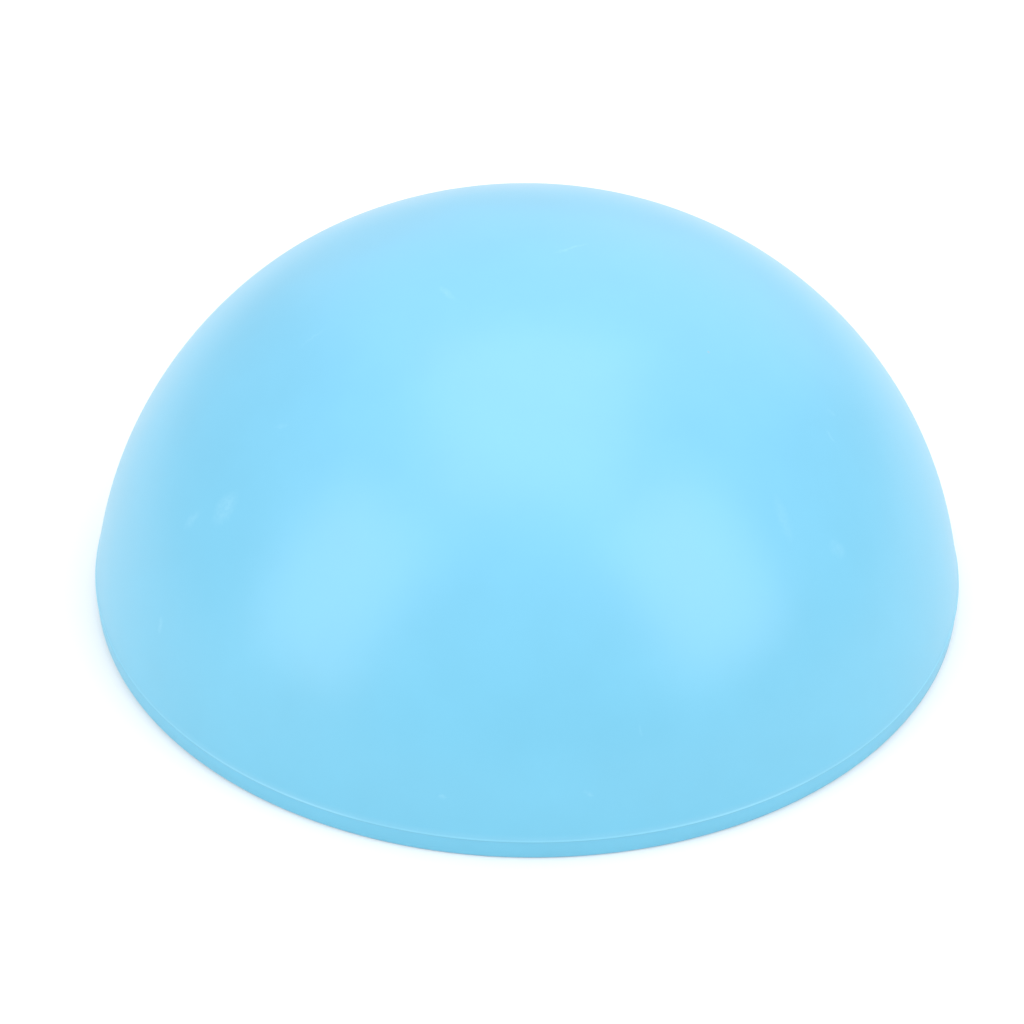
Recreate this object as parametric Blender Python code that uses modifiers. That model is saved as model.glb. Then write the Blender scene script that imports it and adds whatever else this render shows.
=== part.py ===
"""Balance dome trainer: an air-filled dome of frosted PVC, welded to a flat base with a push-in valve plug.

Units are metres and +Z is up. The origin is the middle of the underside, where the dome stands.
Every piece is turned about Z: its outline lies in the XZ plane and a Screw modifier spins it.
"""

import math

import bpy

MM = 0.001

# Driving dimensions
BASE_RADIUS = 80.0 * MM
TOTAL_HEIGHT = 70.0 * MM
SEAM_HEIGHT = 3.8 * MM
SEAM_STEP = 0.2 * MM  # the base stands this far proud of the dome's foot
FIT_GAP = 0.3 * MM  # between pieces that touch
BODY_TURN_STEPS = 72
VALVE_TURN_STEPS = 36

# Dome skin: an elliptic arc a little flatter than a half ball
DOME_ARC_RISE = 76.2 * MM
DOME_FOOT_RADIUS = BASE_RADIUS - SEAM_STEP
DOME_WALL = 3.0 * MM
DOME_FOOT_WALL = 5.0 * MM
DOME_FOOT_HEIGHT = 6.0 * MM
DOME_ARC_POINTS = 20
DOME_INSIDE_POINTS = 14

# Base disc: its edge is a low upright band that leans out a little towards the seam
BAND_DRAFT = 0.15 * MM
BASE_EDGE_ROUND = 0.6 * MM
EDGE_ROUND_POINTS = 4
RIB_WIDTH = 2.0 * MM
RIB_HEIGHT = 3.0 * MM
RIB_DRAFT = 0.3 * MM
GROOVE_COUNT = 6
GROOVE_FIRST_RADIUS = 24.0 * MM
GROOVE_PITCH = 8.0 * MM
GROOVE_WIDTH = 2.4 * MM
GROOVE_FLOOR_WIDTH = 1.4 * MM
GROOVE_DEPTH = 0.9 * MM
POCKET_RADIUS = 13.0 * MM
POCKET_DEPTH = 2.6 * MM
BOSS_RADIUS = 15.5 * MM
BOSS_DRAFT = 1.0 * MM
BOSS_TOP = 9.0 * MM

# Valve seat and valve plug
SEAT_RADIUS = 6.0 * MM
SEAT_BORE_RADIUS = 3.3 * MM
SEAT_FLANGE_RADIUS = 10.0 * MM
SEAT_FLANGE_THICKNESS = 2.0 * MM
SEAT_NOZZLE_RADIUS = 5.0 * MM
SEAT_TOP = 16.0 * MM
PLUG_HEAD_RADIUS = 8.5 * MM
PLUG_HEAD_THICKNESS = 1.6 * MM
PLUG_HEAD_BOTTOM = POCKET_DEPTH - FIT_GAP - PLUG_HEAD_THICKNESS
PLUG_HEAD_ROUND = 0.6 * MM
PLUG_STEM_RADIUS = 2.6 * MM
PLUG_RIB_RADIUS = SEAT_BORE_RADIUS - FIT_GAP
PLUG_RIB_HALF_WIDTH = 0.6 * MM
PLUG_RIB_HEIGHTS = (5.5 * MM, 8.5 * MM, 11.5 * MM)
PLUG_TIP_RADIUS = 1.8 * MM
PLUG_TIP_CHAMFER = 1.0 * MM
PLUG_TOP = 15.0 * MM

SKY_BLUE = (0.25, 0.68, 0.91)
NATURAL_WHITE = (0.80, 0.82, 0.80)


def clear_scene():
    for obj in list(bpy.data.objects):
        bpy.data.objects.remove(obj, do_unlink=True)


def make_collection(name):
    collection = bpy.data.collections.new(name)
    bpy.context.scene.collection.children.link(collection)
    return collection


def make_material(name, colour, roughness):
    material = bpy.data.materials.new(name)
    material.use_nodes = True
    shader = material.node_tree.nodes["Principled BSDF"]
    shader.inputs["Base Color"].default_value = (*colour, 1.0)
    shader.inputs["Roughness"].default_value = roughness
    shader.inputs["Metallic"].default_value = 0.0
    return material


def turned(name, outline, closed, steps, material, collection, origin_z=0.0):
    """A piece turned about Z, from (radius, height) points that run down its outer side from the top.

    A closed outline is a ring with a hole down the middle. An open one starts and ends on the axis.
    """
    mesh = bpy.data.meshes.new(name)
    points = [(radius, 0.0, height - origin_z) for radius, height in outline]
    edges = [(i, i + 1) for i in range(len(points) - 1)]
    if closed:
        edges.append((len(points) - 1, 0))
    mesh.from_pydata(points, edges, [])
    mesh.materials.append(material)
    obj = bpy.data.objects.new(name, mesh)
    obj.location = (0.0, 0.0, origin_z)
    collection.objects.link(obj)
    screw = obj.modifiers.new("turn", "SCREW")
    screw.axis = "Z"
    screw.angle = math.tau
    screw.steps = steps
    screw.render_steps = steps
    screw.use_merge_vertices = True
    screw.merge_threshold = 0.00001
    screw.use_smooth_shade = True
    return obj


def elliptic_arc(side_radius, rise, centre_z, low_angle, high_angle, count):
    """Points along an upright ellipse, from low_angle to high_angle above the horizontal."""
    angles = [low_angle + (high_angle - low_angle) * i / (count - 1) for i in range(count)]
    return [(side_radius * math.cos(a), centre_z + rise * math.sin(a)) for a in angles]


def dome_outline():
    centre_z = TOTAL_HEIGHT - DOME_ARC_RISE
    foot_z = SEAM_HEIGHT + FIT_GAP
    foot_angle = math.asin((foot_z - centre_z) / DOME_ARC_RISE)
    side_radius = DOME_FOOT_RADIUS / math.cos(foot_angle)
    outside = elliptic_arc(side_radius, DOME_ARC_RISE, centre_z, math.pi / 2, foot_angle, DOME_ARC_POINTS)
    outside[0] = (0.0, TOTAL_HEIGHT)

    inside_rise = DOME_ARC_RISE - DOME_WALL
    shoulder_z = foot_z + DOME_FOOT_HEIGHT
    shoulder_angle = math.asin((shoulder_z - centre_z) / inside_rise)
    inside = elliptic_arc(
        side_radius - DOME_WALL, inside_rise, centre_z, shoulder_angle, math.pi / 2, DOME_INSIDE_POINTS
    )
    inside[-1] = (0.0, TOTAL_HEIGHT - DOME_WALL)

    foot_inner = DOME_FOOT_RADIUS - DOME_FOOT_WALL
    foot = [(foot_inner, foot_z), (foot_inner, foot_z + DOME_FOOT_HEIGHT / 2)]
    return outside + foot + inside


def groove_outline(middle_radius):
    """One anti-slip groove in the underside, crossed from its outer edge to its inner edge."""
    return [
        (middle_radius + GROOVE_WIDTH / 2, 0.0),
        (middle_radius + GROOVE_FLOOR_WIDTH / 2, GROOVE_DEPTH),
        (middle_radius - GROOVE_FLOOR_WIDTH / 2, GROOVE_DEPTH),
        (middle_radius - GROOVE_WIDTH / 2, 0.0),
    ]


def base_outline():
    round_centre = BASE_RADIUS - BAND_DRAFT - BASE_EDGE_ROUND
    edge = [
        (
            round_centre + BASE_EDGE_ROUND * math.cos(math.pi / 2 * i / EDGE_ROUND_POINTS),
            BASE_EDGE_ROUND - BASE_EDGE_ROUND * math.sin(math.pi / 2 * i / EDGE_ROUND_POINTS),
        )
        for i in range(EDGE_ROUND_POINTS + 1)
    ]
    grooves = []
    for i in reversed(range(GROOVE_COUNT)):
        grooves += groove_outline(GROOVE_FIRST_RADIUS + i * GROOVE_PITCH)
    bore = SEAT_RADIUS + FIT_GAP
    middle = [(POCKET_RADIUS, 0.0), (POCKET_RADIUS, POCKET_DEPTH), (bore, POCKET_DEPTH), (bore, BOSS_TOP)]
    boss = [(BOSS_RADIUS, BOSS_TOP), (BOSS_RADIUS + BOSS_DRAFT, SEAM_HEIGHT)]
    rib_outer = DOME_FOOT_RADIUS - DOME_FOOT_WALL - FIT_GAP
    rib_inner = rib_outer - RIB_WIDTH
    rib = [
        (rib_inner, SEAM_HEIGHT),
        (rib_inner + RIB_DRAFT, SEAM_HEIGHT + RIB_HEIGHT),
        (rib_outer - RIB_DRAFT, SEAM_HEIGHT + RIB_HEIGHT),
        (rib_outer, SEAM_HEIGHT),
    ]
    return [(BASE_RADIUS, SEAM_HEIGHT)] + edge + grooves + middle + boss + rib


def seat_outline():
    flange_bottom = BOSS_TOP + FIT_GAP
    flange_top = flange_bottom + SEAT_FLANGE_THICKNESS
    return [
        (SEAT_NOZZLE_RADIUS, SEAT_TOP),
        (SEAT_NOZZLE_RADIUS, flange_top),
        (SEAT_FLANGE_RADIUS, flange_top),
        (SEAT_FLANGE_RADIUS, flange_bottom),
        (SEAT_RADIUS, flange_bottom),
        (SEAT_RADIUS, POCKET_DEPTH),
        (SEAT_BORE_RADIUS, POCKET_DEPTH),
        (SEAT_BORE_RADIUS, SEAT_TOP),
    ]


def plug_outline():
    head_top = PLUG_HEAD_BOTTOM + PLUG_HEAD_THICKNESS
    tip = [
        (0.0, PLUG_TOP),
        (PLUG_TIP_RADIUS, PLUG_TOP),
        (PLUG_STEM_RADIUS, PLUG_TOP - PLUG_TIP_CHAMFER),
    ]
    ribs = []
    for height in reversed(PLUG_RIB_HEIGHTS):
        ribs += [
            (PLUG_STEM_RADIUS, height + PLUG_RIB_HALF_WIDTH),
            (PLUG_RIB_RADIUS, height),
            (PLUG_STEM_RADIUS, height - PLUG_RIB_HALF_WIDTH),
        ]
    head = [
        (PLUG_STEM_RADIUS, head_top),
        (PLUG_HEAD_RADIUS, head_top),
        (PLUG_HEAD_RADIUS, PLUG_HEAD_BOTTOM + PLUG_HEAD_ROUND),
        (PLUG_HEAD_RADIUS - PLUG_HEAD_ROUND, PLUG_HEAD_BOTTOM),
        (0.0, PLUG_HEAD_BOTTOM),
    ]
    return tip + ribs + head


def main():
    clear_scene()
    parts = make_collection("balance_dome_trainer")
    skin_pvc = make_material("frosted_pvc_skin", SKY_BLUE, 0.5)
    base_pvc = make_material("moulded_pvc_base", SKY_BLUE, 0.55)
    seat_pvc = make_material("soft_pvc_seat", NATURAL_WHITE, 0.4)
    plug_pe = make_material("polyethylene_plug", NATURAL_WHITE, 0.45)

    turned("dome_skin", dome_outline(), False, BODY_TURN_STEPS, skin_pvc, parts)
    turned("base_disc", base_outline(), True, BODY_TURN_STEPS, base_pvc, parts)
    turned("valve_seat", seat_outline(), True, VALVE_TURN_STEPS, seat_pvc, parts)
    turned("valve_plug", plug_outline(), False, VALVE_TURN_STEPS, plug_pe, parts, PLUG_HEAD_BOTTOM)


main()
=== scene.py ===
"""The looks of the balance dome trainer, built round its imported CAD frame. Units are metres and +Z is up."""

import math

import bpy
from mathutils import Matrix, Vector, noise


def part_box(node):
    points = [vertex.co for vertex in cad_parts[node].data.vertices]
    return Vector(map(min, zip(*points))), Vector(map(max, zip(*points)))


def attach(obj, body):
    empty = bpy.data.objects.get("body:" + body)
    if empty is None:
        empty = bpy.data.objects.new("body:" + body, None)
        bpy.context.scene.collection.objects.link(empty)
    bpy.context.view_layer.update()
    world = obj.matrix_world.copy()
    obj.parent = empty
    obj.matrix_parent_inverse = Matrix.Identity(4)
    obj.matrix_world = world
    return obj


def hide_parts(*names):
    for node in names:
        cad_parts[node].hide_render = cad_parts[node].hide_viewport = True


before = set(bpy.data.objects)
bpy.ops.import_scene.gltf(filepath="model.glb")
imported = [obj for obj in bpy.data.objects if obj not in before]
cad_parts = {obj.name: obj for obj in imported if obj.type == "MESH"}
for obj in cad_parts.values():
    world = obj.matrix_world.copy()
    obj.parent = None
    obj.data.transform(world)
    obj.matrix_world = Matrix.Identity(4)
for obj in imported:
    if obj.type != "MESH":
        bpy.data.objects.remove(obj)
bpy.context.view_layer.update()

MM = 0.001

# ---- Places and sizes, from the frame ----
skin_low, skin_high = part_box("dome_skin")
base_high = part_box("base_disc")[1]
seat_low, seat_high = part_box("valve_seat")
plug_low, plug_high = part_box("valve_plug")

CROWN_Z = skin_high.z
FOOT_Z = skin_low.z
FOOT_RADIUS = skin_high.x
BASE_RADIUS = base_high.x
BOSS_TOP = base_high.z
FLANGE_RADIUS = seat_high.x
PLUG_RADIUS = plug_high.x

# ---- Shape, as in the CAD ----
CAD_GAP = 0.3 * MM
SEAM_Z = FOOT_Z - CAD_GAP
ARC_RISE = 76.2 * MM
SKIN_WALL = 3.0 * MM
FOOT_WALL = 5.0 * MM
FOOT_HEIGHT = 6.0 * MM
BAND_DRAFT = 0.15 * MM
BASE_EDGE_ROUND = 0.6 * MM
RIB_WIDTH, RIB_HEIGHT = 2.0 * MM, 3.0 * MM
GROOVE_COUNT = 6
GROOVE_FIRST_RADIUS = 24.0 * MM
GROOVE_PITCH = 8.0 * MM
GROOVE_WIDTH, GROOVE_FLOOR_WIDTH = 2.4 * MM, 1.4 * MM
GROOVE_DEPTH = 0.9 * MM
POCKET_RADIUS, POCKET_DEPTH = 13.0 * MM, seat_low.z
BOSS_RADIUS, BOSS_DRAFT = 15.5 * MM, 1.0 * MM
SEAT_RADIUS, SEAT_BORE = 6.0 * MM, 3.3 * MM
FLANGE_THICKNESS = 2.0 * MM
NOZZLE_RADIUS = 5.0 * MM
PLUG_HEAD_THICKNESS = 1.6 * MM
PLUG_HEAD_ROUND = 0.6 * MM
STEM_RADIUS, STEM_RIB_RADIUS = 2.6 * MM, 3.0 * MM
STEM_RIB_HEIGHTS = (11.5 * MM, 8.5 * MM, 5.5 * MM)
STEM_RIB_HALF_WIDTH = 0.6 * MM
STEM_TIP_RADIUS, STEM_TIP_CHAMFER = 1.8 * MM, 1.0 * MM

# ---- Small shapes that only the looks have ----
LIP_Z = SEAM_Z + 0.03 * MM  # the skin's foot reaches down to the weld
LIP_ROUND = 0.10 * MM
FLARE, FLARE_HEIGHT = 0.30 * MM, 0.40 * MM
BEAD_THICKNESS = 0.15 * MM
BEAD_STAND_OUT = 0.09 * MM
UNEVENNESS = 0.05 * MM
UNEVEN_LENGTH = 42.0 * MM
CALM_HEIGHT = 12.0 * MM  # the unevenness fades out over this height above the weld
DISH_WALL, DISH_SLOPE, DISH_DEPTH = 2.0 * MM, 0.6 * MM, 0.5 * MM  # the hollow in the plug's head
GATE_RADIUS, GATE_DEPTH = 0.9 * MM, 0.25 * MM  # the mark that moulding leaves in the middle of the hollow

# ---- Fineness ----
BODY_STEPS = 384
VALVE_STEPS = 128
BEAD_STEPS = 768
SKIN_RINGS = 150
FOOT_CROWDING = 1.5  # above 1, the skin's rings lie closer together towards its foot
INSIDE_RINGS = 40
FILLET_STEPS = 6
BEAD_POINTS = 12
SHARP_ANGLE = 40  # degrees
ON_AXIS = 0.0001 * MM  # a point nearer the axis than this is on it

# ---- Colours, in linear light ----
CROWN_BLUE = (0.192, 0.541, 0.768)
FOOT_BLUE = (0.161, 0.531, 0.740)
# painted highlight: the flaring foot made whiter than the skin, standing in for the gloss it catches
FLARE_HIGHLIGHT_BLUE = (0.187, 0.536, 0.738)
# painted highlight: the lip's edge made whiter still, standing in for the gloss it catches
LIP_HIGHLIGHT_BLUE = (0.238, 0.602, 0.792)
# painted shade: the weld bead made darker, for the shade under the lip's edge
BEAD_SHADE_BLUE = (0.152, 0.492, 0.680)
BASE_BLUE = (0.150, 0.521, 0.724)
NATURAL_WHITE = (0.80, 0.82, 0.80)
AGED_WHITE = (0.80, 0.79, 0.72)
RUBBED_BLUE = (0.29, 0.64, 0.82)
DUST_GREY = (0.42, 0.44, 0.46)

# ---- Plastics. Scales are per metre, strengths are shares of 1. ----
PLASTIC_IOR = 1.54
SKIN_ROUGHNESS, SKIN_GRAIN = 0.315, 0.004 * MM
BASE_ROUGHNESS, BASE_GRAIN = 0.36, 0.006 * MM
BEAD_ROUGHNESS, BEAD_GRAIN = 0.36, 0.003 * MM
SEAT_ROUGHNESS, SEAT_GRAIN = 0.50, 0.003 * MM
PLUG_ROUGHNESS, PLUG_GRAIN = 0.40, 0.002 * MM
GRAIN_SCALE = 3500.0
MOTTLE_SCALE, MOTTLE, MOTTLE_GLOSS = 60.0, 0.04, 0.02
MOTTLE_LOW, MOTTLE_HIGH = 0.3, 0.7  # the noise that gives the least and the most roughness
PATCH_LOW = 0.35
RUB_WANDER, RUB_WANDER_SCALE = 1.4 * MM, 700.0
RUB_DEPTH = 2.0 * MM
RUB_CORE = 0.3  # the share of a rub's length that is rubbed in full
STREAK_SCALE, STREAK_FAINTEST = 1600.0, 0.35
RUB_COLOUR, RUB_ROUGHENING = 0.55, 0.10
# painted highlight on the flaring foot: where it fades out and where it is full
FLARE_HIGHLIGHT_TOP, FLARE_HIGHLIGHT_FULL = 1.3 * MM, 0.4 * MM  # above the lip
# painted highlight along the lip's edge: where it fades out and where it is full, and its patches along the
# lip
LIP_HIGHLIGHT_TOP, LIP_HIGHLIGHT_FULL = 0.45 * MM, 0.25 * MM  # above the lip
LIP_HIGHLIGHT_PATCH_SCALE, LIP_HIGHLIGHT_FAINTEST = 35.0, 0.5
SPECK_CELL_SCALE, SPECK_RADIUS, SPECK_CORE = 130.0, 0.045, 0.02
SPECK_RARITY, SPECK_RARITY_FADE, SPECK_COLOUR = 0.965, 0.005, 0.35
WEAR_HEIGHT, WEAR_PATCH_SCALE, WEAR_FAINTEST = 0.5 * MM, 220.0, 0.35
WEAR_COLOUR, WEAR_ROUGHENING = 0.30, 0.15

# Each mark rubbed on the skin: bearing in degrees (0 faces the camera, growing to the right), elevation
# of the way the skin faces there, heading in degrees from the way up, length and width in mm, strength.
RUBS = (
    (110, 85, -16, 9.0, 0.9, 0.9),
    (-55, 78, -88, 6.0, 1.4, 0.6),
    (-72, 62, -2, 8.0, 0.6, 0.5),
    (-55, 39.5, 5, 8.2, 5.0, 0.7),
    (-60, 35, 15, 5.5, 2.4, 0.5),
    (-57, 20, -10, 4.0, 1.6, 0.6),
    (-56, 52, 45, 4.5, 1.2, 0.4),
    (46, 43, 14, 10.0, 3.0, 0.35),
    (53, 35.5, -30, 5.0, 3.4, 0.5),
    (67, 46.5, 2, 3.0, 0.9, 0.6),
    (72, 48, -16, 2.6, 1.6, 0.4),
    (-10, 14, 80, 2.0, 0.8, 0.6),
    (8, 15, -65, 2.6, 0.9, 0.5),
    (15, 23, -10, 2.4, 0.5, 0.5),
    (140, 50, 60, 7.0, 1.2, 0.5),
    (168, 33, -20, 5.0, 2.4, 0.6),
    (-150, 41, 75, 9.0, 0.8, 0.6),
    (-118, 28, 10, 4.0, 1.8, 0.5),
)

# Each shallow dent in the skin: bearing, elevation, heading, length and width in mm, depth in mm.
# A depth below 0 is a bulge: the real skin stands out a little on its left shoulder.
DENTS = (
    (-132, 43, 0, 48.0, 48.0, -0.340),
    (45, 43, 4, 13.0, 5.0, 0.070),
    (-56, 40, 10, 9.0, 5.0, 0.020),
    (150, 46, 35, 14.0, 6.0, 0.060),
    (-130, 55, -30, 11.0, 5.0, 0.040),
)

# ---- Studio. Each lamp: name, bearing, elevation, distance, width and height in metres, power in watts. ----
LAMPS = (
    ("top_light", 0, 90, 0.85, 0.74, 0.80, 3.0),
    ("left_light", -58, 27, 0.90, 0.54, 0.80, 2.75),
    ("right_light", 55, 33, 0.90, 0.54, 0.75, 2.95),
    ("back_light", 171, 38, 1.20, 2.10, 1.60, 4.7),
    ("rim_light", 155, 28, 1.20, 0.80, 1.00, 0.45),
)
WORLD_STRENGTH = 0.60
FLOOR_SIZE = 8.0
FLOOR_WHITE = (0.8, 0.8, 0.8)
FLOOR_ROUGHNESS = 0.8
FLOOR_GLOW = 0.14  # lightens the shadow round the foot, as on the photograph's white background

# ---- Camera. Angles are in degrees. ----
CAMERA_ELEVATION, CAMERA_ROLL = 35.375, 0.793
AIM_LEFT, AIM_DOWN = 0.274, 1.326
CAMERA_DISTANCE = 8 * BASE_RADIUS
TARGET_HEIGHT = 0.4 * BASE_RADIUS
LENS, SENSOR = 123.87, 36.0  # millimetres
CLIP_NEAR, CLIP_FAR = 0.01, 50.0


# ---------------------------------------------------------------- shapes
def facing(bearing, elevation):
    """The unit vector that way. Bearing 0 is the camera's side and grows to the right, in degrees."""
    b, e = math.radians(bearing), math.radians(elevation)
    return Vector((math.sin(b) * math.cos(e), -math.cos(b) * math.cos(e), math.sin(e)))


def rounded(corners, closed):
    """The outline through (radius, height, fillet) corners, with an arc of that fillet at each."""
    points = []
    count = len(corners)
    for i, (r, z, fillet) in enumerate(corners):
        here = Vector((r, z))
        if fillet <= 0 or (not closed and i in (0, count - 1)):
            points.append(here)
            continue
        before = Vector(corners[i - 1][:2]) - here
        after = Vector(corners[(i + 1) % count][:2]) - here
        half_angle = before.angle(after) / 2
        start = here + before.normalized() * (fillet / math.tan(half_angle))
        middle_way = (before.normalized() + after.normalized()).normalized()
        centre = here + middle_way * (fillet / math.sin(half_angle))
        turn = math.pi - 2 * half_angle
        side = 1 if before.x * after.y - before.y * after.x < 0 else -1
        for k in range(FILLET_STEPS + 1):
            spun = Matrix.Rotation(side * turn * k / FILLET_STEPS, 2) @ (start - centre)
            points.append(centre + spun)
    return [(p.x, p.y) for p in points]


def turned(name, outline, closed, steps):
    """A fine turned mesh. The outline runs down the outer side from the top, as (radius, height) points."""
    verts, rings = [], []
    for r, z in outline:
        if r < ON_AXIS:
            rings.append([len(verts)] * steps)
            verts.append((0.0, 0.0, z))
            continue
        rings.append(list(range(len(verts), len(verts) + steps)))
        for k in range(steps):
            angle = math.tau * k / steps
            verts.append((r * math.cos(angle), r * math.sin(angle), z))
    faces = []
    pairs = list(zip(rings, rings[1:]))
    if closed:
        pairs.append((rings[-1], rings[0]))
    for upper, lower in pairs:
        for k in range(steps):
            nxt = (k + 1) % steps
            corners = [upper[k], lower[k], lower[nxt], upper[nxt]]
            faces.append(list(dict.fromkeys(corners)))
    mesh = bpy.data.meshes.new(name)
    mesh.from_pydata(verts, [], faces)
    mesh.shade_smooth()
    mesh.set_sharp_from_angle(angle=math.radians(SHARP_ANGLE))
    obj = bpy.data.objects.new(name, mesh)
    bpy.context.scene.collection.objects.link(obj)
    return obj


ARC_CENTRE_Z = CROWN_Z - ARC_RISE
SIDE_RADIUS = FOOT_RADIUS / math.cos(math.asin((FOOT_Z - ARC_CENTRE_Z) / ARC_RISE))


def skin_arc(wall, low_z, count, crowding):
    """(radius, height) points down the dome, wall deep in the skin, closer together towards low_z."""
    rise, reach = ARC_RISE - wall, SIDE_RADIUS - wall
    low_angle = math.asin((low_z - ARC_CENTRE_Z) / rise)
    points = [(0.0, ARC_CENTRE_Z + rise)]
    for i in range(1, count):
        share = (1 - i / (count - 1)) ** crowding
        angle = low_angle + (math.pi / 2 - low_angle) * share
        points.append((reach * math.cos(angle), ARC_CENTRE_Z + rise * math.sin(angle)))
    return points


def on_dome(bearing, elevation, heading):
    """The place on the dome where it faces that way, and its axes: along a heading, across it, outward."""
    out = facing(bearing, elevation)
    stretched = Vector((SIDE_RADIUS ** 2 * out.x, SIDE_RADIUS ** 2 * out.y, ARC_RISE ** 2 * out.z))
    reach = math.sqrt(stretched.dot(out))
    place = stretched / reach + Vector((0, 0, ARC_CENTRE_Z))
    up_slope = (Vector((0, 0, 1)) - out * out.z).normalized()
    along = Matrix.Rotation(math.radians(-heading), 3, out) @ up_slope
    return place, along, out.cross(along), out


def pressed_in(point, dents):
    """How far in the skin is pressed at a point."""
    depth = 0.0
    for place, along, across, _, half_long, half_wide, deep in dents:
        away = point - place
        spread = (away.dot(along) / half_long) ** 2 + (away.dot(across) / half_wide) ** 2
        depth += deep * math.exp(-spread)
    return depth


def make_skin():
    """The dome. It flares a hair at its foot, and its outside is a little uneven, as a soft skin is."""
    outside = []
    for r, z in skin_arc(0.0, LIP_Z + LIP_ROUND, SKIN_RINGS, FOOT_CROWDING):
        flared = r + FLARE * math.exp((LIP_Z - z) / FLARE_HEIGHT)
        outside.append((flared if r > 0 else 0.0, z))
    lip_r = outside[-1][0]
    lip = []
    for k in range(1, FILLET_STEPS + 1):
        a = math.pi / 2 * k / FILLET_STEPS
        lip.append((lip_r - LIP_ROUND * (1 - math.cos(a)), LIP_Z + LIP_ROUND * (1 - math.sin(a))))
    foot_inner = FOOT_RADIUS - FOOT_WALL
    foot = [(foot_inner, LIP_Z), (foot_inner, FOOT_Z + FOOT_HEIGHT / 2)]
    inside = skin_arc(SKIN_WALL, FOOT_Z + FOOT_HEIGHT, INSIDE_RINGS, 1.0)
    skin = turned("skin", outside + lip + foot + inside[::-1], False, BODY_STEPS)

    dents = []
    for bearing, elevation, heading, length, width, depth in DENTS:
        dents.append((*on_dome(bearing, elevation, heading), length / 2 * MM, width / 2 * MM, depth * MM))
    outside_count = 1 + (len(outside) - 1) * BODY_STEPS
    for vertex in list(skin.data.vertices)[:outside_count]:
        point = vertex.co.copy()
        out = Vector((point.x, point.y, point.z - ARC_CENTRE_Z)).normalized()
        ease = min(1.0, (point.z - LIP_Z) / CALM_HEIGHT)
        wave = noise.noise(point / UNEVEN_LENGTH) * UNEVENNESS
        vertex.co = point + out * (ease * (wave - UNEVENNESS / 2) - pressed_in(point, dents))
    return skin


def make_weld_bead():
    """The thin bead squeezed out of the weld, all round between the skin and the base."""
    middle_r = BASE_RADIUS + BEAD_STAND_OUT - BEAD_THICKNESS
    outline = []
    for k in range(BEAD_POINTS):
        a = math.pi / 2 - math.tau * k / BEAD_POINTS
        outline.append((middle_r + BEAD_THICKNESS * math.cos(a), SEAM_Z + BEAD_THICKNESS * math.sin(a)))
    return turned("weld_bead", outline, True, BEAD_STEPS)


def make_base():
    """The base disc: a low rim band, grip grooves and a valve pocket below, a boss and a rib above."""
    edge, soft = 0.2 * MM, 0.12 * MM
    bore = SEAT_RADIUS + CAD_GAP
    rib_outer = FOOT_RADIUS - FOOT_WALL - CAD_GAP
    rib_inner = rib_outer - RIB_WIDTH
    corners = [(BASE_RADIUS, SEAM_Z, soft), (BASE_RADIUS - BAND_DRAFT, 0.0, BASE_EDGE_ROUND)]
    for i in reversed(range(GROOVE_COUNT)):
        middle = GROOVE_FIRST_RADIUS + i * GROOVE_PITCH
        corners += [
            (middle + GROOVE_WIDTH / 2, 0.0, soft),
            (middle + GROOVE_FLOOR_WIDTH / 2, GROOVE_DEPTH, soft),
            (middle - GROOVE_FLOOR_WIDTH / 2, GROOVE_DEPTH, soft),
            (middle - GROOVE_WIDTH / 2, 0.0, soft),
        ]
    corners += [
        (POCKET_RADIUS, 0.0, 2 * edge),
        (POCKET_RADIUS, POCKET_DEPTH, edge),
        (bore, POCKET_DEPTH, soft),
        (bore, BOSS_TOP, soft),
        (BOSS_RADIUS, BOSS_TOP, edge),
        (BOSS_RADIUS + BOSS_DRAFT, SEAM_Z, edge),
        (rib_inner, SEAM_Z, edge),
        (rib_inner, SEAM_Z + RIB_HEIGHT, edge),
        (rib_outer, SEAM_Z + RIB_HEIGHT, edge),
        (rib_outer, SEAM_Z, 0.0),
    ]
    return turned("base", rounded(corners, True), True, BODY_STEPS)


def make_seat():
    """The valve seat: a soft bush with a flange and a nozzle inside the dome."""
    soft = 0.3 * MM
    flange_bottom = BOSS_TOP + CAD_GAP
    flange_top = flange_bottom + FLANGE_THICKNESS
    corners = [
        (NOZZLE_RADIUS, seat_high.z, soft),
        (NOZZLE_RADIUS, flange_top, soft),
        (FLANGE_RADIUS, flange_top, soft),
        (FLANGE_RADIUS, flange_bottom, soft),
        (SEAT_RADIUS, flange_bottom, 0.0),
        (SEAT_RADIUS, seat_low.z, soft),
        (SEAT_BORE, seat_low.z, soft),
        (SEAT_BORE, seat_high.z, soft),
    ]
    return turned("seat", rounded(corners, True), True, VALVE_STEPS)


def make_plug():
    """The valve plug: a dished head with a gate mark, and a ribbed stem."""
    fine, small, soft = 0.1 * MM, 0.3 * MM, 0.4 * MM
    dish_outer = PLUG_RADIUS - DISH_WALL
    dish_z, gate_z = plug_low.z + DISH_DEPTH, plug_low.z + GATE_DEPTH
    head_top = plug_low.z + PLUG_HEAD_THICKNESS
    corners = [
        (0.0, plug_high.z, 0.0),
        (STEM_TIP_RADIUS, plug_high.z, soft),
        (STEM_RADIUS, plug_high.z - STEM_TIP_CHAMFER, 2 * fine),
    ]
    for height in STEM_RIB_HEIGHTS:
        corners += [
            (STEM_RADIUS, height + STEM_RIB_HALF_WIDTH, fine),
            (STEM_RIB_RADIUS, height, fine),
            (STEM_RADIUS, height - STEM_RIB_HALF_WIDTH, fine),
        ]
    corners += [
        (STEM_RADIUS, head_top, soft),
        (PLUG_RADIUS, head_top, small),
        (PLUG_RADIUS, plug_low.z, PLUG_HEAD_ROUND),
        (dish_outer, plug_low.z, small),
        (dish_outer - DISH_SLOPE, dish_z, small),
        (GATE_RADIUS, dish_z, fine),
        (GATE_RADIUS - fine, gate_z, fine),
        (0.0, gate_z, 0.0),
    ]
    return turned("plug", rounded(corners, False), False, VALVE_STEPS)


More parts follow.
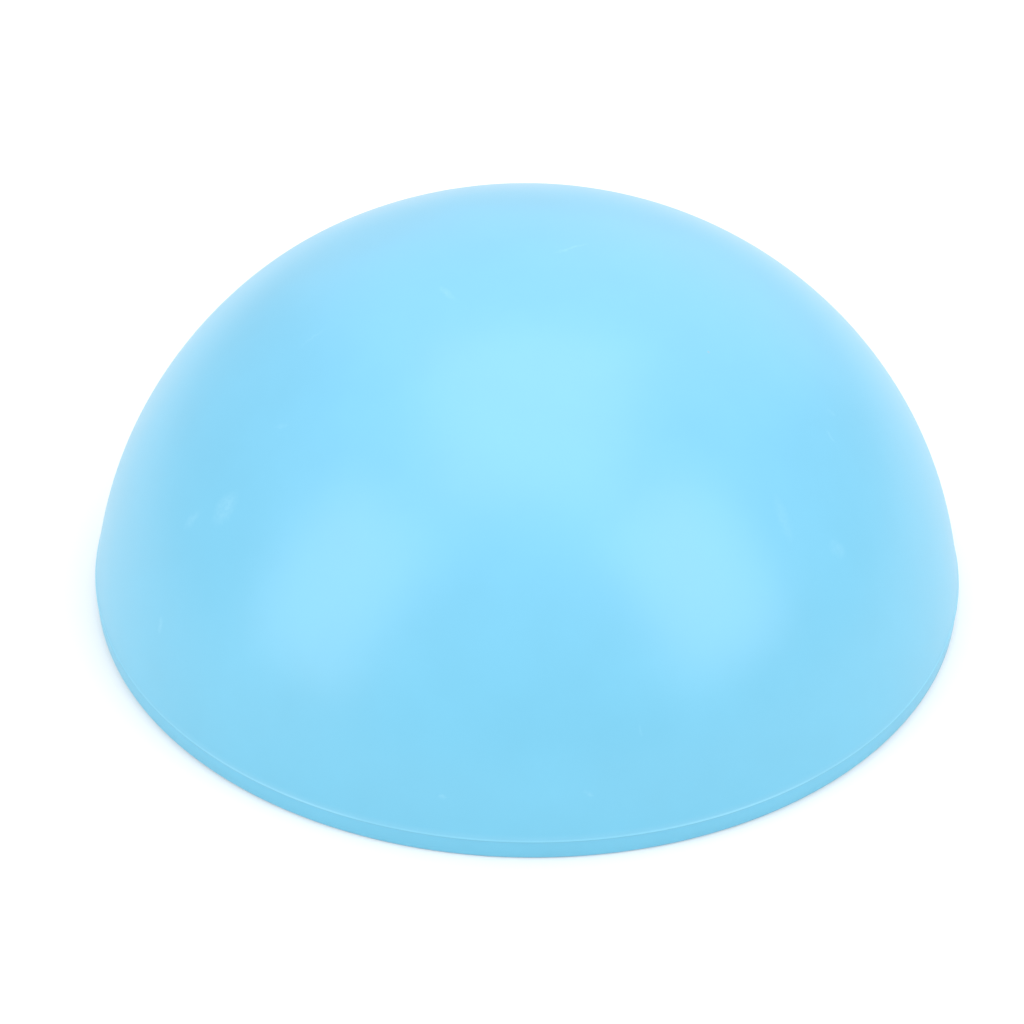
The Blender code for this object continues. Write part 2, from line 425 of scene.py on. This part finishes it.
# ---------------------------------------------------------------- materials
def node(tree, kind, settings=None, **inputs):
    """A node with its settings and inputs. An input is a value, or another node's output."""
    made = tree.nodes.new(kind)
    for name, value in (settings or {}).items():
        setattr(made, name, value)
    for name, value in inputs.items():
        socket = made.inputs[int(name[1:])] if name[1:].isdigit() else made.inputs[name.replace("_", " ")]
        if isinstance(value, bpy.types.NodeSocket):
            tree.links.new(value, socket)
        else:
            socket.default_value = value
    return made


def remap(tree, value, low, high, to_low=0.0, to_high=1.0):
    """The value spread from low..high to to_low..to_high, clamped."""
    made = node(
        tree, "ShaderNodeMapRange",
        Value=value, From_Min=low, From_Max=high, To_Min=to_low, To_Max=to_high,
    )
    return made.outputs["Result"]


def maths(tree, operation, *values):
    """The result of one sum on values, each a number or an output."""
    inputs = {f"_{i}": value for i, value in enumerate(values)}
    return node(tree, "ShaderNodeMath", {"operation": operation}, **inputs).outputs["Value"]


def mixed(tree, share, first, second):
    """A mix of two colours, each a tuple or an output."""
    ends = [tuple(c) + (1.0,) if isinstance(c, tuple) else c for c in (first, second)]
    made = node(tree, "ShaderNodeMix", {"data_type": "RGBA"}, _0=share, _6=ends[0], _7=ends[1])
    return made.outputs[2]


def noisy(tree, place, scale, detail):
    """Soft noise round 0.5, the same at the same place."""
    return node(tree, "ShaderNodeTexNoise", Vector=place, Scale=scale, Detail=detail).outputs["Fac"]


def patches(tree, place, scale, detail, high, faintest):
    """Noise in patches: it is faintest where the noise is below PATCH_LOW, and 1 where it is above high."""
    return remap(tree, noisy(tree, place, scale, detail), PATCH_LOW, high, faintest, 1.0)


def height_in(tree, place):
    """The height of a place."""
    return node(tree, "ShaderNodeSeparateXYZ", Vector=place).outputs["Z"]


def rub_mask(tree, place, marks):
    """1 on the rubbed marks and 0 elsewhere, ragged and streaky."""
    mask = None
    for bearing, elevation, heading, length, width, strength in marks:
        centre, along, across, out = on_dome(bearing, elevation, heading)
        frame_axes = Matrix((along, across, out)).transposed()
        local = node(
            tree, "ShaderNodeMapping", {"vector_type": "TEXTURE"},
            Vector=place, Location=centre, Rotation=frame_axes.to_euler(),
            Scale=(length / 2 * MM, width / 2 * MM, RUB_DEPTH),
        )
        away = node(
            tree, "ShaderNodeVectorMath", {"operation": "LENGTH"}, Vector=local.outputs["Vector"]
        ).outputs["Value"]
        spot = remap(tree, away, 1.0, RUB_CORE, 0.0, strength)
        mask = spot if mask is None else maths(tree, "MAXIMUM", mask, spot)
    return mask


def moulded_plastic(name, low_colour, high_colour, low_z, high_z, roughness, grain_height):
    """Satin plastic with a faint mottle and a fine moulded grain, its colour changing slowly with height.

    Returns the material, its tree and shader, and the outputs that hold the place, the colour and the gloss.
    """
    material = bpy.data.materials.new(name)
    material.use_nodes = True
    tree = material.node_tree
    shader = tree.nodes["Principled BSDF"]
    shader.inputs["IOR"].default_value = PLASTIC_IOR
    place = node(tree, "ShaderNodeTexCoord").outputs["Object"]
    mottle = noisy(tree, place, MOTTLE_SCALE, detail=3.0)
    colour = mixed(tree, remap(tree, height_in(tree, place), low_z, high_z), low_colour, high_colour)
    value = remap(tree, mottle, 0.0, 1.0, 1 - MOTTLE, 1 + MOTTLE)
    tint = node(tree, "ShaderNodeHueSaturation", Value=value, Color=colour).outputs["Color"]
    smoothest, roughest = roughness - MOTTLE_GLOSS, roughness + MOTTLE_GLOSS
    gloss = remap(tree, mottle, MOTTLE_LOW, MOTTLE_HIGH, smoothest, roughest)
    grain = noisy(tree, place, GRAIN_SCALE, detail=2.0)
    bump = node(tree, "ShaderNodeBump", Strength=1.0, Distance=grain_height, Height=grain)
    tree.links.new(bump.outputs["Normal"], shader.inputs["Normal"])
    tree.links.new(tint, shader.inputs["Base Color"])
    tree.links.new(gloss, shader.inputs["Roughness"])
    return material, tree, shader, place, tint, gloss


def make_skin_pvc():
    """The skin's vinyl, with a painted highlight, whiter colour, where its foot flares and along the lip's
    edge, with rubbed marks and a few specks.
    """
    material, tree, shader, place, tint, gloss = moulded_plastic(
        "skin_pvc", FOOT_BLUE, CROWN_BLUE, FOOT_Z, CROWN_Z, SKIN_ROUGHNESS, SKIN_GRAIN
    )

    wander = node(
        tree, "ShaderNodeTexNoise", Vector=place, Scale=RUB_WANDER_SCALE, Detail=3.0
    ).outputs["Color"]
    centred = node(
        tree, "ShaderNodeVectorMath", {"operation": "SUBTRACT"}, _0=wander, _1=(0.5, 0.5, 0.5)
    ).outputs["Vector"]
    nudge = node(
        tree, "ShaderNodeVectorMath", {"operation": "MULTIPLY_ADD"},
        _0=centred, _1=(RUB_WANDER,) * 3, _2=place,
    ).outputs["Vector"]
    streaks = patches(tree, place, STREAK_SCALE, detail=4.0, high=0.6, faintest=STREAK_FAINTEST)
    rubbed = maths(tree, "MULTIPLY", rub_mask(tree, nudge, RUBS), streaks)
    tint = mixed(tree, maths(tree, "MULTIPLY", rubbed, RUB_COLOUR), tint, RUBBED_BLUE)
    gloss = maths(tree, "MULTIPLY_ADD", rubbed, RUB_ROUGHENING, gloss)

    above_lip = maths(tree, "SUBTRACT", height_in(tree, place), LIP_Z)
    # painted highlight on the flaring foot, whiter colour that is full near the lip
    flared = remap(tree, above_lip, FLARE_HIGHLIGHT_TOP, FLARE_HIGHLIGHT_FULL)
    # painted highlight along the lip's edge: a thin, patchy band of whiter colour
    patchy = patches(tree, place, LIP_HIGHLIGHT_PATCH_SCALE, detail=2.0, high=0.6, faintest=LIP_HIGHLIGHT_FAINTEST)
    lip_highlight = maths(tree, "MULTIPLY", remap(tree, above_lip, LIP_HIGHLIGHT_TOP, LIP_HIGHLIGHT_FULL), patchy)
    tint = mixed(tree, lip_highlight, mixed(tree, flared, tint, FLARE_HIGHLIGHT_BLUE), LIP_HIGHLIGHT_BLUE)

    cells = node(tree, "ShaderNodeTexVoronoi", Vector=place, Scale=SPECK_CELL_SCALE, Randomness=1.0)
    rare = node(tree, "ShaderNodeSeparateColor", Color=cells.outputs["Color"])
    dot = remap(tree, cells.outputs["Distance"], SPECK_RADIUS, SPECK_CORE)
    chosen = remap(tree, rare.outputs["Red"], SPECK_RARITY, SPECK_RARITY + SPECK_RARITY_FADE)
    speck = maths(tree, "MULTIPLY", dot, chosen)
    tint = mixed(tree, maths(tree, "MULTIPLY", speck, SPECK_COLOUR), tint, DUST_GREY)

    tree.links.new(tint, shader.inputs["Base Color"])
    tree.links.new(gloss, shader.inputs["Roughness"])
    return material


def make_bead_shade_pvc():
    """The weld's vinyl, a little darker than what it joins: painted shade under the lip's edge."""
    return moulded_plastic(
        "bead_shade_pvc", BEAD_SHADE_BLUE, BEAD_SHADE_BLUE, SEAM_Z, FOOT_Z, BEAD_ROUGHNESS, BEAD_GRAIN
    )[0]


def make_base_pvc():
    """The base's vinyl, greyed and roughened where it rubs on the floor."""
    material, tree, shader, place, tint, gloss = moulded_plastic(
        "base_pvc", BASE_BLUE, FOOT_BLUE, 0.0, FOOT_Z, BASE_ROUGHNESS, BASE_GRAIN
    )
    low = remap(tree, height_in(tree, place), WEAR_HEIGHT, 0.0)
    patchy = patches(tree, place, WEAR_PATCH_SCALE, detail=5.0, high=0.65, faintest=WEAR_FAINTEST)
    worn = maths(tree, "MULTIPLY", low, patchy)
    tint = mixed(tree, maths(tree, "MULTIPLY", worn, WEAR_COLOUR), tint, DUST_GREY)
    gloss = maths(tree, "MULTIPLY_ADD", worn, WEAR_ROUGHENING, gloss)
    tree.links.new(tint, shader.inputs["Base Color"])
    tree.links.new(gloss, shader.inputs["Roughness"])
    return material


def make_valve_white(name, low_z, high_z, roughness, grain_height):
    """The valve's natural white plastic, yellowed a hair towards the outside."""
    return moulded_plastic(name, AGED_WHITE, NATURAL_WHITE, low_z, high_z, roughness, grain_height)[0]


# ---------------------------------------------------------------- studio
def softbox(name, bearing, elevation, distance, width, height, power):
    """A rectangular lamp aimed at the middle of the dome."""
    toward = facing(bearing, elevation)
    data = bpy.data.lights.new(name, "AREA")
    data.shape = "RECTANGLE"
    data.size, data.size_y = width, height
    data.energy = power
    lamp = bpy.data.objects.new(name, data)
    bpy.context.scene.collection.objects.link(lamp)
    lamp.location = toward * distance + Vector((0, 0, CROWN_Z / 2))
    lamp.rotation_mode = "QUATERNION"
    lamp.rotation_quaternion = toward.to_track_quat("Z", "Y")


def make_studio():
    """A white world, a pale paper floor and the lamps."""
    world = bpy.data.worlds.new("studio")
    bpy.context.scene.world = world
    world.use_nodes = True
    backdrop = world.node_tree.nodes["Background"]
    backdrop.inputs["Color"].default_value = (1, 1, 1, 1)
    backdrop.inputs["Strength"].default_value = WORLD_STRENGTH

    bpy.ops.mesh.primitive_plane_add(size=FLOOR_SIZE)
    floor = bpy.context.object
    floor.name = "floor"
    paper = bpy.data.materials.new("floor_paper")
    paper.use_nodes = True
    shader = paper.node_tree.nodes["Principled BSDF"]
    shader.inputs["Base Color"].default_value = (*FLOOR_WHITE, 1)
    shader.inputs["Roughness"].default_value = FLOOR_ROUGHNESS
    shader.inputs["Emission Color"].default_value = (1, 1, 1, 1)
    shader.inputs["Emission Strength"].default_value = FLOOR_GLOW
    floor.data.materials.append(paper)

    for lamp in LAMPS:
        softbox(*lamp)


def make_camera():
    """The camera looks down on the dome from in front, with a little roll, and aims a hair off it."""
    target = Vector((0, 0, TARGET_HEIGHT))
    back = facing(0, CAMERA_ELEVATION)
    data = bpy.data.cameras.new("camera")
    data.lens, data.sensor_width = LENS, SENSOR
    data.clip_start, data.clip_end = CLIP_NEAR, CLIP_FAR
    camera = bpy.data.objects.new("camera", data)
    bpy.context.scene.collection.objects.link(camera)
    view = back.to_track_quat("Z", "Y").to_matrix()
    spin = Matrix.Rotation(math.radians(CAMERA_ROLL), 3, "Z")
    tip = Matrix.Rotation(-math.radians(AIM_DOWN), 3, "X")
    swing = Matrix.Rotation(math.radians(AIM_LEFT), 3, "Y")
    turn = (view @ spin @ tip @ swing).to_4x4()
    camera.matrix_world = Matrix.Translation(target + back * CAMERA_DISTANCE) @ turn
    bpy.context.scene.camera = camera


# ---------------------------------------------------------------- assembly
skin_pvc = make_skin_pvc()
base_pvc = make_base_pvc()
seat_rubber = make_valve_white("seat_rubber", seat_low.z, seat_high.z, SEAT_ROUGHNESS, SEAT_GRAIN)
plug_plastic = make_valve_white("plug_plastic", plug_low.z, plug_high.z, PLUG_ROUGHNESS, PLUG_GRAIN)

for piece, material, node_name, slot, body in (
    (make_skin(), skin_pvc, "dome_skin", "skin", "dome"),
    (make_base(), base_pvc, "base_disc", "base", "dome"),
    (make_seat(), seat_rubber, "valve_seat", "seat", "dome"),
    (make_plug(), plug_plastic, "valve_plug", "plug", "plug"),
    (make_weld_bead(), make_bead_shade_pvc(), None, "skin", "dome"),
):
    piece.data.materials.append(material)
    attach(piece, body)
    if node_name:
        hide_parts(node_name)

make_studio()
make_camera()
bpy.context.scene.view_settings.view_transform = "Standard"
